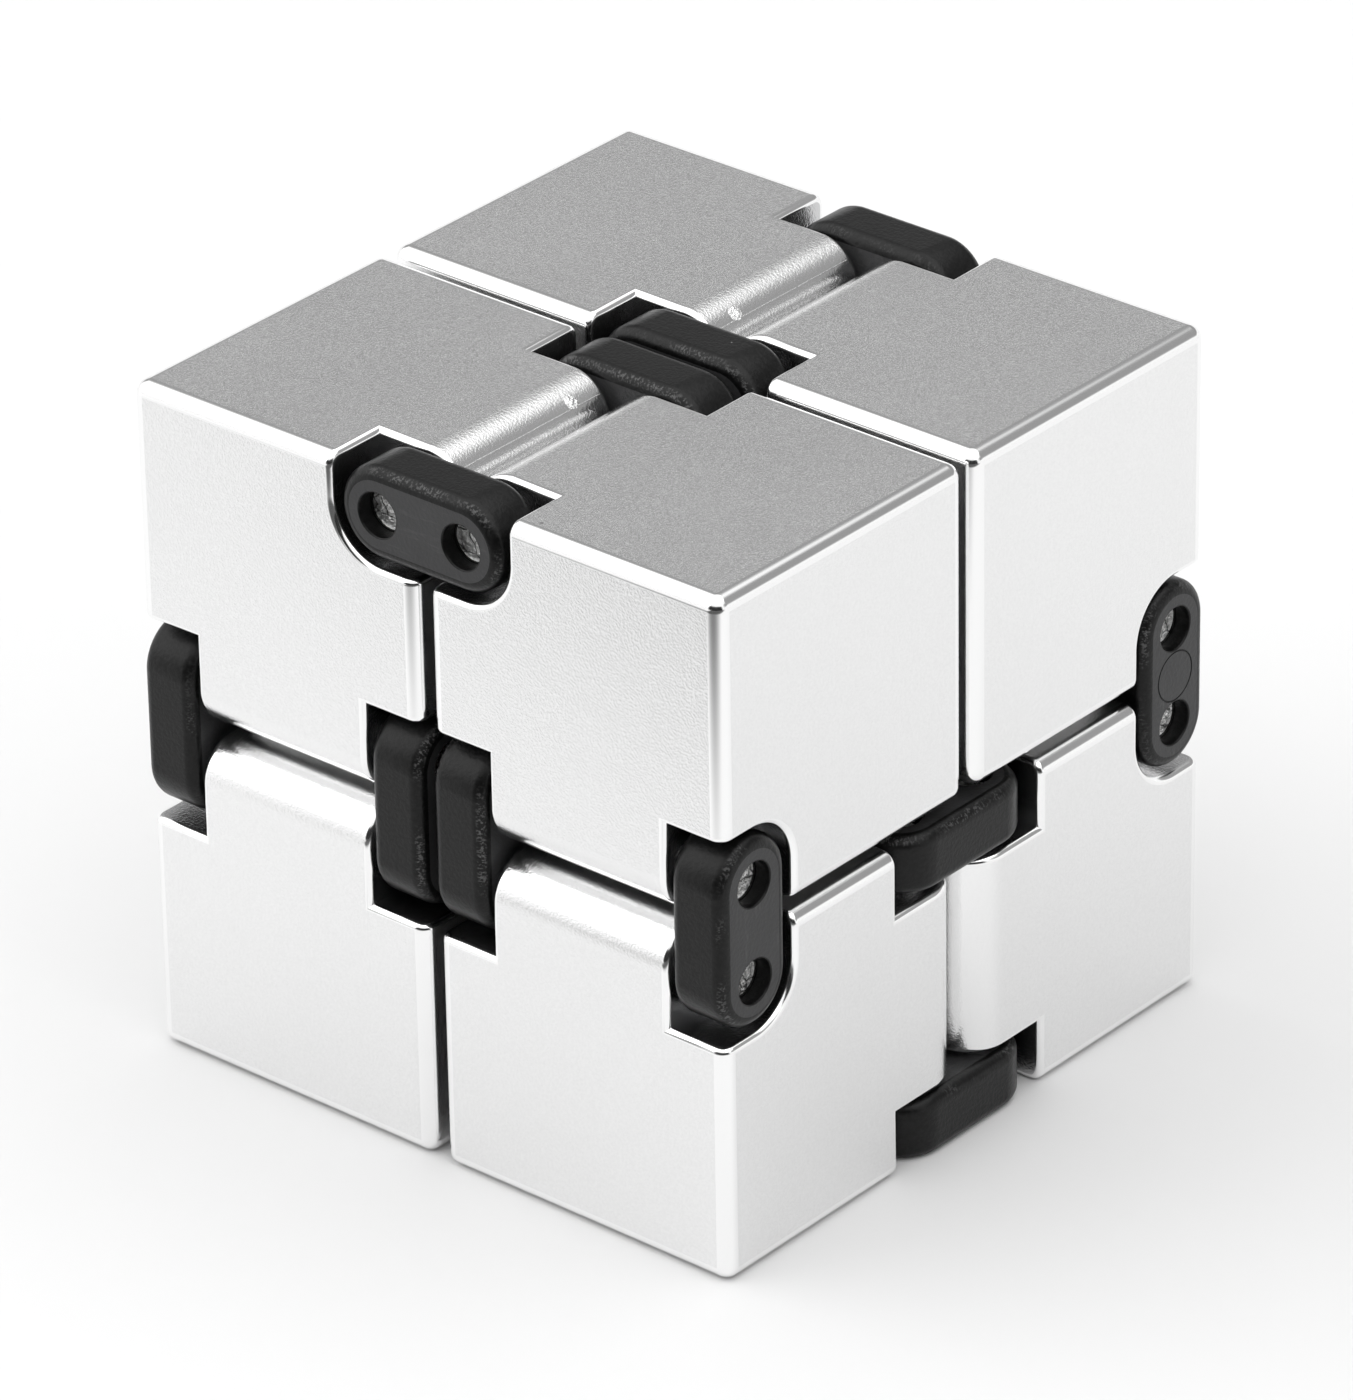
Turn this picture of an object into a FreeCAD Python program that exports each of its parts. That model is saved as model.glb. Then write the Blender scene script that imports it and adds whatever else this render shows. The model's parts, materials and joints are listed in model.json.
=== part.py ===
import FreeCAD, Part
import math
import os
import Sketcher

Vector = FreeCAD.Vector

# Folding fidget cube: eight hollow blocks in a closed ring, joined by eight hinges.
# A hinge is two flat links, one at each end of the shared edge, with two pins pressed through both.
# Each pin turns in the rounded barrel that one block has along that edge,
# so a hinge opens in two halves of 90 degrees.
# Millimetres, +Z up, +X to the right, +Y to the rear. The origin is the middle of the base.

doc = FreeCAD.newDocument("folding_cube")

DRIVING_SIZES = [
    ("cube_side", 40.0, "closed cube, outer face to outer face"),
    ("seam_gap", 0.8, "gap between two blocks that face each other"),
    ("edge_round", 0.8, "fillet on every block edge without a hinge"),
    ("barrel_radius", 2.45, "hinge barrel, and the pin's depth under both faces"),
    ("shell_wall", 1.5, "thinnest wall round the hollow of a block"),
    ("cover_thickness", 1.2, "plate that closes the hollow"),
    ("cover_lip", 0.7, "ledge that the cover plate sits on"),
    ("cover_fit", 0.05, "gap all round the cover plate and its spigot"),
    ("spigot_height", 1.6, "rim under the cover plate"),
    ("spigot_wall", 1.0, "thickness of that rim"),
    ("link_half_width", 2.65, "half the link's width, and its end radius"),
    ("link_thickness", 3.5, "link along the pins"),
    ("link_edge_round", 0.7, "fillet round both faces of a link"),
    ("link_swing_gap", 0.5, "free space round a link's end in its notch"),
    ("link_end_gap", 0.35, "free space between a link and the barrel's end"),
    ("pin_radius", 1.2, "steel pin"),
    ("pin_running_gap", 0.05, "radial clearance between a pin and its barrel"),
    ("pin_recess", 0.95, "pin end below the link's outer face"),
    ("pin_chamfer", 0.15, "broken edge at each end of a pin"),
    ("mouth_gap", 0.06, "the link's hole is this much wider than the pin outside the pin's end"),
]


def make_sheet():
    sheet = doc.addObject("Spreadsheet::Sheet", "Sizes")
    for row, (alias, value, note) in enumerate(DRIVING_SIZES, start=1):
        sheet.set(f"A{row}", alias)
        sheet.set(f"B{row}", str(value))
        sheet.set(f"C{row}", note)
        sheet.setAlias(f"B{row}", alias)
    doc.recompute()
    return sheet


sheet = make_sheet()

# Sizes that follow from the driving ones, as expressions for the document's objects.
half_side = "(Sizes.cube_side / 2)"
half_gap = "(Sizes.seam_gap / 2)"
block_side = f"({half_side} - {half_gap})"
pin_offset = f"({half_gap} + Sizes.barrel_radius)"
notch_radius = "(Sizes.link_half_width + Sizes.link_swing_gap)"
notch_size = f"(Sizes.barrel_radius + {notch_radius})"
notch_depth = "(Sizes.link_thickness + Sizes.link_end_gap)"
bore_radius = "(Sizes.pin_radius + Sizes.pin_running_gap)"
mouth_radius = "(Sizes.pin_radius + Sizes.mouth_gap)"
pin_length = f"({block_side} - 2 * Sizes.pin_recess)"


def value_of(expression):
    return float(sheet.evalExpression(expression))


# ---- document helpers ----


def new_body(label):
    body = doc.addObject("PartDesign::Body", label)
    body.Label = label
    return body


def origin_plane(body, role):
    return next(item for item in body.Origin.OriginFeatures if item.Role == role)


def new_sketch(body, name, role, height="0"):
    """A sketch on one of the body's own origin planes, or at a height above it along the body's axis."""
    sketch = body.newObject("Sketcher::SketchObject", name)
    sketch.AttachmentSupport = [(origin_plane(body, role), "")]
    sketch.MapMode = "FlatFace"
    if height != "0":
        sign = -1 if role == "XZ_Plane" else 1
        sketch.setExpression("AttachmentOffset.Base.z", f"{sign} * {height}")
    return sketch


def set_distance(sketch, kind, geometry, point, expression):
    """Ties one coordinate of a sketch point to an expression, measured from the sketch's origin."""
    if expression == "0":
        axis = -2 if kind == "DistanceX" else -1
        sketch.addConstraint(Sketcher.Constraint("PointOnObject", geometry, point, axis))
        return
    value = value_of(expression)
    index = sketch.addConstraint(Sketcher.Constraint(kind, -1, 1, geometry, point, value))
    sketch.setExpression(f"Constraints[{index}]", expression)


def set_radius(sketch, geometry, expression):
    index = sketch.addConstraint(Sketcher.Constraint("Radius", geometry, value_of(expression)))
    sketch.setExpression(f"Constraints[{index}]", expression)


def outline_sketch(body, name, role, corners, height="0"):
    """A closed outline of straight sides through the corners, each given as two expressions."""
    sketch = new_sketch(body, name, role, height)
    points = [Vector(value_of(across), value_of(up), 0) for across, up in corners]
    count = len(points)
    for index, point in enumerate(points):
        sketch.addGeometry(Part.LineSegment(point, points[(index + 1) % count]))
    for index in range(count):
        sketch.addConstraint(Sketcher.Constraint("Coincident", index, 2, (index + 1) % count, 1))
    for index, (across, up) in enumerate(corners):
        set_distance(sketch, "DistanceX", index, 1, across)
        set_distance(sketch, "DistanceY", index, 1, up)
    return sketch


def circle_sketch(body, name, role, centres, radius, height="0"):
    sketch = new_sketch(body, name, role, height)
    for across, up in centres:
        centre = Vector(value_of(across), value_of(up), 0)
        circle = sketch.addGeometry(Part.Circle(centre, Vector(0, 0, 1), value_of(radius)))
        set_distance(sketch, "DistanceX", circle, 3, across)
        set_distance(sketch, "DistanceY", circle, 3, up)
        set_radius(sketch, circle, radius)
    return sketch


def extrude(body, kind, name, sketch, length, forwards=True):
    """Pads or pockets a sketch along the positive axis through its plane, or the negative one."""
    feature = body.newObject(f"PartDesign::{kind}", name)
    feature.Profile = sketch
    feature.setExpression("Length", length)
    along_normal = forwards != (sketch.AttachmentSupport[0][0].Role == "XZ_Plane")
    feature.Reversed = along_normal if kind == "Pocket" else not along_normal
    doc.recompute()
    return feature


def round_edges(body, name, wanted, radius):
    """Fillets the edges of the body whose middle point the test accepts."""
    base = body.Tip
    names = [f"Edge{n}" for n, edge in enumerate(base.Shape.Edges, start=1) if wanted(edge)]
    fillet = body.newObject("PartDesign::Fillet", name)
    fillet.Base = (base, names)
    fillet.setExpression("Radius", radius)
    doc.recompute()
    return fillet


def same(first, second):
    return abs(first - second) < 1e-4


def middle(edge):
    return edge.valueAt((edge.FirstParameter + edge.LastParameter) / 2)


def place(body, axes, position):
    """Turns a body's own axes to three directions, and ties its position to three expressions."""
    body.Placement = FreeCAD.Placement(Vector(), FreeCAD.Rotation(*axes, "XYZ"))
    for letter, expression in zip("xyz", position):
        body.setExpression(f"Placement.Base.{letter}", expression)


def position_from(terms):
    """Adds up directions times lengths, from the middle of the closed cube, as three expressions."""
    sums = [["0"], ["0"], [half_side]]
    for direction, length in terms:
        for parts, share in zip(sums, direction):
            if share:
                parts.append(f"{int(share)} * {length}")
    return [" + ".join(parts) for parts in sums]


# ---- blocks ----
# A block is drawn with its inner corner at the origin and three roles for its axes: across, along and up.
# The first hinge edge runs along, at across = 0 and up = side.
# The second hinge edge runs across, at up = 0 and along = side.
# The face at along = 0 has no hinge edge and lies inside the closed cube, so the cover is there.
# A right-hand block takes x as across and y as along, and a left-hand block takes them the other way round.


def block_planes(right_hand):
    """The plane that the first hinge's outline is drawn on, and the second's."""
    return ("XZ_Plane", "YZ_Plane") if right_hand else ("YZ_Plane", "XZ_Plane")


def roles(point, right_hand):
    across, along = (point.x, point.y) if right_hand else (point.y, point.x)
    return across, along, point.z


def stepped_outline(margin):
    """The section of a block's hollow: a square with one corner stepped in, clear of the first hinge."""
    far = f"({block_side} - {margin})"
    step = f"({notch_size} + {margin})"
    below = f"({block_side} - {step})"
    return [(margin, margin), (far, margin), (far, far), (step, far), (step, below), (margin, below)]


def make_shell(label, right_hand):
    body = new_body(label)
    box = body.newObject("PartDesign::AdditiveBox", f"{label}_box")
    for side in ("Length", "Width", "Height"):
        box.setExpression(side, block_side)
    doc.recompute()
    side = value_of(block_side)
    first_plane, second_plane = block_planes(right_hand)

    def on_hinge_edge(edge):
        across, along, up = roles(middle(edge), right_hand)
        first = same(across, 0) and same(up, side)
        second = same(up, 0) and same(along, side)
        return first or second

    def on_plain_edge(edge):
        return sum(same(part, 0) or same(part, side) for part in middle(edge)) == 2

    round_edges(body, f"{label}_barrels", on_hinge_edge, "Sizes.barrel_radius")
    round_edges(body, f"{label}_edges", on_plain_edge, "Sizes.edge_round")

    # notches for the links, at both ends of each barrel
    far_notch = f"({block_side} - {notch_depth})"
    below = f"({block_side} - {notch_size})"
    first_notch = [("0", below), (notch_size, below), (notch_size, block_side), ("0", block_side)]
    second_notch = [(below, "0"), (block_side, "0"), (block_side, notch_size), (below, notch_size)]
    for hinge, plane, corners in (
        ("first", first_plane, first_notch),
        ("second", second_plane, second_notch),
    ):
        for end, height in (("inner", "0"), ("outer", far_notch)):
            name = f"{label}_{hinge}_{end}_notch"
            sketch = outline_sketch(body, f"{name}_outline", plane, corners, height)
            extrude(body, "Pocket", name, sketch, notch_depth)

    size = value_of(notch_size)
    depth = value_of(notch_depth)

    def in_notch_corner(edge):
        across, along, up = roles(middle(edge), right_hand)
        first = same(across, size) and same(up, side - size)
        second = same(up, size) and same(along, side - size)
        return first and not depth < along < side - depth or second and not depth < across < side - depth

    round_edges(body, f"{label}_notch_corners", in_notch_corner, notch_radius)

    # bores for the pins
    pin_height = f"({block_side} - Sizes.barrel_radius)"
    for hinge, plane, centre in (
        ("first", first_plane, ("Sizes.barrel_radius", pin_height)),
        ("second", second_plane, (pin_height, "Sizes.barrel_radius")),
    ):
        sketch = circle_sketch(body, f"{label}_{hinge}_bore_outline", plane, [centre], bore_radius)
        extrude(body, "Pocket", f"{label}_{hinge}_bore", sketch, block_side)

    # the hollow: a seat for the cover, a shallow part beside the second hinge, and a deep part above it
    ledge = "(Sizes.shell_wall + Sizes.cover_lip)"
    floor = f"({notch_size} + Sizes.shell_wall)"
    seat_outline = stepped_outline("Sizes.shell_wall")
    shallow_outline = stepped_outline(ledge)
    deep_outline = stepped_outline(ledge)
    deep_outline[0] = (ledge, floor)
    deep_outline[1] = (deep_outline[1][0], floor)
    for part, corners, depth_of_part in (
        ("cover_seat", seat_outline, "Sizes.cover_thickness"),
        ("shallow_hollow", shallow_outline, f"({block_side} - {floor})"),
        ("deep_hollow", deep_outline, f"({block_side} - Sizes.shell_wall)"),
    ):
        sketch = outline_sketch(body, f"{label}_{part}_outline", first_plane, corners)
        extrude(body, "Pocket", f"{label}_{part}", sketch, depth_of_part)
    return body


def make_cover(label, right_hand):
    body = new_body(label)
    plane = block_planes(right_hand)[0]
    plate_margin = "(Sizes.shell_wall + Sizes.cover_fit)"
    spigot_margin = "(Sizes.shell_wall + Sizes.cover_lip + Sizes.cover_fit)"
    rim_margin = "(Sizes.shell_wall + Sizes.cover_lip + Sizes.cover_fit + Sizes.spigot_wall)"
    top = "Sizes.cover_thickness"
    plate = outline_sketch(body, f"{label}_plate_outline", plane, stepped_outline(plate_margin))
    extrude(body, "Pad", f"{label}_plate", plate, top)
    spigot_outline = stepped_outline(spigot_margin)
    spigot = outline_sketch(body, f"{label}_spigot_outline", plane, spigot_outline, top)
    extrude(body, "Pad", f"{label}_spigot", spigot, "Sizes.spigot_height")
    inside = outline_sketch(body, f"{label}_inside_outline", plane, stepped_outline(rim_margin), top)
    extrude(body, "Pocket", f"{label}_inside", inside, "Sizes.spigot_height")
    return body


def block_axes(side_x, side_y, side_z):
    """The directions of a block's across, along and up in the closed cube, and whether it is right-hand."""
    if side_z > 0:
        across, along, up = Vector(side_x, 0, 0), Vector(0, side_y, 0), Vector(0, 0, 1)
    else:
        across, along, up = Vector(0, 0, -1), Vector(side_x, 0, 0), Vector(0, side_y, 0)
    return across, along, up, across.cross(along).dot(up) > 0


def make_block(side_x, side_y, side_z):
    level = "upper" if side_z > 0 else "lower"
    depth = "rear" if side_y > 0 else "front"
    width = "right" if side_x > 0 else "left"
    label = f"{level}_{depth}_{width}"
    across, along, up, right_hand = block_axes(side_x, side_y, side_z)
    axes = (across, along, up) if right_hand else (along, across, up)
    corner = position_from([(Vector(side_x, side_y, side_z), half_gap)])
    block_pieces = [make_shell(f"{label}_shell", right_hand), make_cover(f"{label}_cover", right_hand)]
    for piece in block_pieces:
        place(piece, axes, corner)
    return block_pieces


# ---- hinges ----
# A hinge's own axes are across the seam, out of the cube's face, and along the pins towards their outer end.


def make_link(label):
    """A flat stadium with two holes. Its plain face is at z = 0, and the holes widen at the other face."""
    body = new_body(label)
    sketch = new_sketch(body, f"{label}_outline", "XY_Plane")
    offset, radius = value_of(pin_offset), value_of("Sizes.link_half_width")
    normal = Vector(0, 0, 1)
    right, left = Vector(offset, 0, 0), Vector(-offset, 0, 0)
    up = Vector(0, radius, 0)
    quarter = math.pi / 2
    sketch.addGeometry(Part.ArcOfCircle(Part.Circle(right, normal, radius), -quarter, quarter))
    sketch.addGeometry(Part.LineSegment(right + up, left + up))
    sketch.addGeometry(Part.ArcOfCircle(Part.Circle(left, normal, radius), quarter, 3 * quarter))
    sketch.addGeometry(Part.LineSegment(left - up, right - up))
    for first in range(4):
        sketch.addConstraint(Sketcher.Constraint("Tangent", first, 2, (first + 1) % 4, 1))
    set_distance(sketch, "DistanceX", 0, 3, pin_offset)
    set_distance(sketch, "DistanceY", 0, 3, "0")
    set_distance(sketch, "DistanceX", 2, 3, f"-1 * {pin_offset}")
    set_distance(sketch, "DistanceY", 2, 3, "0")
    set_radius(sketch, 0, "Sizes.link_half_width")
    extrude(body, "Pad", f"{label}_plate", sketch, "Sizes.link_thickness")

    thickness = value_of("Sizes.link_thickness")
    round_edges(
        body,
        f"{label}_rounding",
        lambda edge: same(middle(edge).z, 0) or same(middle(edge).z, thickness),
        "Sizes.link_edge_round",
    )
    centres = [(pin_offset, "0"), (f"-1 * {pin_offset}", "0")]
    holes = circle_sketch(body, f"{label}_hole_outline", "XY_Plane", centres, "Sizes.pin_radius")
    extrude(body, "Pocket", f"{label}_holes", holes, "Sizes.link_thickness")
    floor = "(Sizes.link_thickness - Sizes.pin_recess)"
    mouths = circle_sketch(body, f"{label}_mouth_outline", "XY_Plane", centres, mouth_radius, floor)
    extrude(body, "Pocket", f"{label}_mouths", mouths, "Sizes.pin_recess")
    return body


def make_pin(label):
    body = new_body(label)
    rod = body.newObject("PartDesign::AdditiveCylinder", f"{label}_rod")
    rod.setExpression("Radius", "Sizes.pin_radius")
    rod.setExpression("Height", pin_length)
    doc.recompute()
    names = [f"Edge{n}" for n, edge in enumerate(rod.Shape.Edges, start=1) if edge.Closed]
    chamfer = body.newObject("PartDesign::Chamfer", f"{label}_ends")
    chamfer.Base = (rod, names)
    chamfer.setExpression("Size", "Sizes.pin_chamfer")
    doc.recompute()
    return body


SIDE_WORDS = {
    (1, 0, 0): "right",
    (-1, 0, 0): "left",
    (0, 1, 0): "rear",
    (0, -1, 0): "front",
    (0, 0, 1): "upper",
    (0, 0, -1): "lower",
}


def side_word(direction):
    return SIDE_WORDS[tuple(int(round(part)) for part in direction)]


def make_hinge(label, out, along):
    """Two links and two pins under the face that points out, with the pins' outer ends at the side along."""
    across = out.cross(along)
    to_axis = (out, f"({half_side} - Sizes.barrel_radius)")
    outer = make_link(f"{label}_outer_link")
    outer_at = position_from([to_axis, (along, f"({half_side} - Sizes.link_thickness)")])
    place(outer, (across, out, along), outer_at)
    inner = make_link(f"{label}_inner_link")
    inner_at = position_from([to_axis, (along, f"({half_gap} + Sizes.link_thickness)")])
    place(inner, (across, out * -1, along * -1), inner_at)
    hinge_pieces = [outer, inner]
    for side in (across, across * -1):
        pin = make_pin(f"{label}_{side_word(side)}_pin")
        to_pin = [to_axis, (side, pin_offset), (along, f"({half_gap} + Sizes.pin_recess)")]
        place(pin, (across, out, along), position_from(to_pin))
        hinge_pieces.append(pin)
    return hinge_pieces


LEFT, RIGHT = Vector(-1, 0, 0), Vector(1, 0, 0)
FRONT, REAR = Vector(0, -1, 0), Vector(0, 1, 0)
UP, DOWN = Vector(0, 0, 1), Vector(0, 0, -1)

# Each hinge with the face it lies in and the end where its outer link is.
HINGES = [
    ("top_front", UP, FRONT),
    ("top_rear", UP, REAR),
    ("front_left", FRONT, LEFT),
    ("front_right", FRONT, RIGHT),
    ("rear_left", REAR, LEFT),
    ("rear_right", REAR, RIGHT),
    ("left_side", LEFT, DOWN),
    ("right_side", RIGHT, DOWN),
]

pieces = []
for side_z in (1, -1):
    for side_y in (-1, 1):
        for side_x in (-1, 1):
            pieces += make_block(side_x, side_y, side_z)
for hinge_label, hinge_out, hinge_along in HINGES:
    pieces += make_hinge(hinge_label, hinge_out, hinge_along)
doc.recompute()

for item in doc.Objects:
    if "Invalid" in item.State or "Error" in item.State:
        raise RuntimeError(f"{item.Label} did not recompute: {item.State}")
os.makedirs("parts", exist_ok=True)
for piece in pieces:
    if piece.Shape.isNull() or not piece.Shape.isValid() or len(piece.Shape.Solids) != 1:
        raise RuntimeError(f"{piece.Label} is not one valid solid")
    piece.Shape.exportStep(f"parts/{piece.Label}.step")
    print(piece.Label, round(piece.Shape.Volume, 2))
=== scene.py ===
import json
import math
import bmesh
import bpy
from mathutils import Matrix, Vector

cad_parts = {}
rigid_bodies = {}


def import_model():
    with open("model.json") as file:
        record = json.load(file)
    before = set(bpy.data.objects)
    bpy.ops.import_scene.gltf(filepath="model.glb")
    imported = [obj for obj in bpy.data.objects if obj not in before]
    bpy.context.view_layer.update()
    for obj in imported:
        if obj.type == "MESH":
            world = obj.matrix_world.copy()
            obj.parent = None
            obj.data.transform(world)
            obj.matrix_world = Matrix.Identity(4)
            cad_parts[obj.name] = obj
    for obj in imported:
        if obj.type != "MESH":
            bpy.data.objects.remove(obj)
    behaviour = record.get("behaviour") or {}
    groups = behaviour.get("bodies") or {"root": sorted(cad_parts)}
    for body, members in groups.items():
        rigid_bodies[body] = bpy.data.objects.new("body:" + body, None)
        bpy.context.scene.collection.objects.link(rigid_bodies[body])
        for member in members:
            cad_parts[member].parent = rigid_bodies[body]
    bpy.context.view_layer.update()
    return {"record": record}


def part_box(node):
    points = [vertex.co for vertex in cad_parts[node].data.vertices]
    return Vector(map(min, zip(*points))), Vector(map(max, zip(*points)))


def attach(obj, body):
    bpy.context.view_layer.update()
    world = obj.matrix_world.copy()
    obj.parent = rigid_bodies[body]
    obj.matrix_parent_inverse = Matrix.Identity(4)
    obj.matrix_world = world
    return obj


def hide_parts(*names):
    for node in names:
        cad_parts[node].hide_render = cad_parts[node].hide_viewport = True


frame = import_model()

mm = 0.001
tiny = 1e-6                      # closer than this counts as touching
almost = 0.999                   # a share over this counts as the whole
bodyOf = {node: body for body, nodes in frame["record"]["behaviour"]["bodies"].items() for node in nodes}


def nodesEnding(ending):
    return sorted(node for node in bodyOf if node.endswith(ending))


def boxMiddle(node):
    low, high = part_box(node)
    return (low + high) / 2


def boxSize(node):
    low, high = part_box(node)
    return high - low


# sizes that the CAD nodes give
linkBox = boxSize("top_front_outer_link")
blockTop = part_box("upper_front_left_shell")[1].z
blockSide = boxSize("upper_front_left_shell").x
barrelRadius = blockTop - boxMiddle("top_front_left_pin").z
pinReach = abs(boxMiddle("top_front_left_pin").x)               # from a hinge's middle to its pins
pinRadius = boxSize("top_front_left_pin").x / 2
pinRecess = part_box("top_front_left_pin")[0].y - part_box("top_front_outer_link")[0].y
linkHalfWidth = linkBox.z / 2
linkThickness = linkBox.y
cubeMiddle = Vector((0.0, 0.0, blockTop / 2))


def objectFrom(name, mesh):
    obj = bpy.data.objects.new(name, mesh)
    bpy.context.scene.collection.objects.link(obj)
    return obj


def meshFrom(name, bm):
    mesh = bpy.data.meshes.new(name)
    bm.normal_update()
    bm.to_mesh(mesh)
    bm.free()
    return mesh


def bakedMesh(obj):
    # the object's mesh with its modifiers applied
    graph = bpy.context.evaluated_depsgraph_get()
    return bpy.data.meshes.new_from_object(obj.evaluated_get(graph), depsgraph=graph)


# toPoint functions put an outline's u, v and its depth w in place
def straightUp(u, v, w):
    return (u, v, w)


def throughFront(u, v, w):
    return (u, w, v)


def alongFirst(u, v, w):         # u runs from the seam and v down from the top, at a block's first hinge
    return (u, w, blockSide - v)


def alongSecond(u, v, w):        # the same at its second hinge
    return (w, blockSide - u, v)


def prism(name, outline, start, end, toPoint, cavity=0.0):
    # a closed solid, run along its depth from start to end
    bm = bmesh.new()
    mark = bm.faces.layers.float.new("cavity")
    bottom = [bm.verts.new(toPoint(u, v, start)) for u, v in outline]
    top = [bm.verts.new(toPoint(u, v, end)) for u, v in outline]
    bm.faces.new(bottom)
    bm.faces.new(top)
    for i in range(len(outline)):
        j = (i + 1) % len(outline)
        bm.faces.new((bottom[i], bottom[j], top[j], top[i]))
    for face in bm.faces:
        face[mark] = cavity
    bmesh.ops.recalc_face_normals(bm, faces=bm.faces)
    return objectFrom(name, meshFrom(name, bm))


def circleOutline(radius, steps, middle=0.0, height=0.0):
    turns = [2 * math.pi * i / steps for i in range(steps)]
    return [(middle + radius * math.cos(turn), height + radius * math.sin(turn)) for turn in turns]


def combine(obj, solids, operation="DIFFERENCE"):
    # cuts the solids out of the object or joins them to it, and removes them
    for solid in solids:
        modifier = obj.modifiers.new(solid.name, "BOOLEAN")
        modifier.operation = operation
        modifier.solver = "EXACT"
        modifier.object = solid
    mesh = bakedMesh(obj)
    obj.modifiers.clear()
    obj.data = mesh
    for solid in solids:
        bpy.data.objects.remove(solid)


def faceLayer(bm, name):
    return bm.faces.layers.float.get(name) or bm.faces.layers.float.new(name)


def roundOff(obj, wanted, width, steps, mark):
    # bevels the wanted edges, and marks the new faces in the mesh's polish layer
    bm = bmesh.new()
    bm.from_mesh(obj.data)
    polish, cavity = faceLayer(bm, "polish"), faceLayer(bm, "cavity")
    bmesh.ops.remove_doubles(bm, verts=bm.verts, dist=tiny / 10)
    bm.normal_update()
    edges = [edge for edge in bm.edges if len(edge.link_faces) == 2 and wanted(edge)]
    made = bmesh.ops.bevel(
        bm, geom=edges, offset=width, offset_type="OFFSET", segments=steps,
        profile=0.5, affect="EDGES", clamp_overlap=False,
    )
    for face in made["faces"]:
        face[polish] = mark
        face[cavity] = 0.0
    bm.normal_update()
    bm.to_mesh(obj.data)
    bm.free()


def sharpEnough(edge, degrees=40):
    return edge.is_convex and edge.calc_face_angle(0) > math.radians(degrees)


ownStep = 30 * mm                # between two pieces' own coordinates, so that no two share a texture


def settle(name, mesh, matrix, facet=34):
    # puts a mesh in its place, with edges over facet degrees kept sharp, and its own coordinates kept
    placed = mesh.copy()
    own = placed.attributes.new("own", "FLOAT_VECTOR", "POINT")
    shift = Vector((ownStep * len(bpy.data.objects), 0, 0))
    own.data.foreach_set("vector", [part for vertex in placed.vertices for part in vertex.co + shift])
    placed.transform(matrix)
    if matrix.determinant() < 0:
        placed.flip_normals()
    bm = bmesh.new()
    bm.from_mesh(placed)
    for face in bm.faces:
        face.smooth = True
    for edge in bm.edges:
        edge.smooth = not (len(edge.link_faces) == 2 and edge.calc_face_angle(0) > math.radians(facet))
    bm.to_mesh(placed)
    bm.free()
    piece = objectFrom(name, placed)
    weigh = piece.modifiers.new("weigh", "WEIGHTED_NORMAL")
    weigh.mode = "FACE_AREA"
    weigh.weight = 100
    weigh.keep_sharp = True
    final = bakedMesh(piece)
    piece.modifiers.clear()
    piece.data = final
    final.name = name
    return piece


def placeMatrix(corner, first, second, third):
    # carries x, y and z to three directions, from a corner
    turn = Matrix((first, second, third)).transposed().to_4x4()
    return Matrix.Translation(corner) @ turn


def feed(tree, socket, value):
    if hasattr(value, "node"):
        tree.links.new(value, socket)
    else:
        socket.default_value = value


def addNode(tree, kind, *values, **named):
    # values feed the first inputs. A name with a capital is an input, and any other is a setting
    node = tree.nodes.new(kind)
    for label, value in named.items():
        if label[0].islower():
            setattr(node, label, value)
    for socket, value in zip(node.inputs, values):
        feed(tree, socket, value)
    for label, value in named.items():
        if label[0].isupper():
            feed(tree, node.inputs[label.replace("_", " ")], value)
    return node.outputs


def add(tree, kind, *values, **named):
    return addNode(tree, kind, *values, **named)[0]


def mathsOf(tree, operation, *values, **settings):
    return add(tree, "ShaderNodeMath", *values, operation=operation, **settings)


# A block is drawn from its inner corner, with x across, y along and z up, as its own axes.
block = {
    "edgeRound": 0.8 * mm,
    "edgeSteps": 7,
    "barrelSteps": 28,
    "barrelPolish": 0.62,        # how far the barrel is polished like an edge
    "polishTurn": 24,            # degrees from a flat face to the full polish
    "notchRound": 0.36 * mm,
    "notchSteps": 5,
    "notchCornerSteps": 20,
    "swingGap": 0.5 * mm,        # round a link's end
    "endGap": 0.35 * mm,         # between a link and its notch's end wall
    "boreGap": 0.05 * mm,
    "boreSteps": 48,
    "wall": 1.5 * mm,
    "lip": 0.7 * mm,             # what the cover rests on
    "cutReach": 1.0 * mm,        # how far a cutter stands out of the block
}
notchDepth = linkThickness + block["endGap"]
notchRadius = linkHalfWidth + block["swingGap"]
notchSize = barrelRadius + notchRadius


def notchOutline():
    # a square with its inner corner rounded
    reach = block["cutReach"]
    middle = notchSize - notchRadius
    points = [(-reach, -reach), (notchSize, -reach)]
    for i in range(block["notchCornerSteps"] + 1):
        angle = math.pi / 2 * i / block["notchCornerSteps"]
        points.append((middle + notchRadius * math.cos(angle), middle + notchRadius * math.sin(angle)))
    points.append((-reach, notchSize))
    return points


def steppedOutline(margin, bottom=None):
    # the block's section at its cover, inside it by a margin and clear of the notch
    far = blockSide - margin
    step = notchSize + margin
    low = margin if bottom is None else bottom
    turn = blockSide - step
    return [(margin, low), (far, low), (far, far), (step, far), (step, turn), (margin, turn)]


def hingeEdge(edge):
    x, y, z = (edge.verts[0].co + edge.verts[1].co) / 2
    first = abs(x) < tiny and abs(z - blockSide) < tiny
    second = abs(z) < tiny and abs(y - blockSide) < tiny
    return first or second


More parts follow.
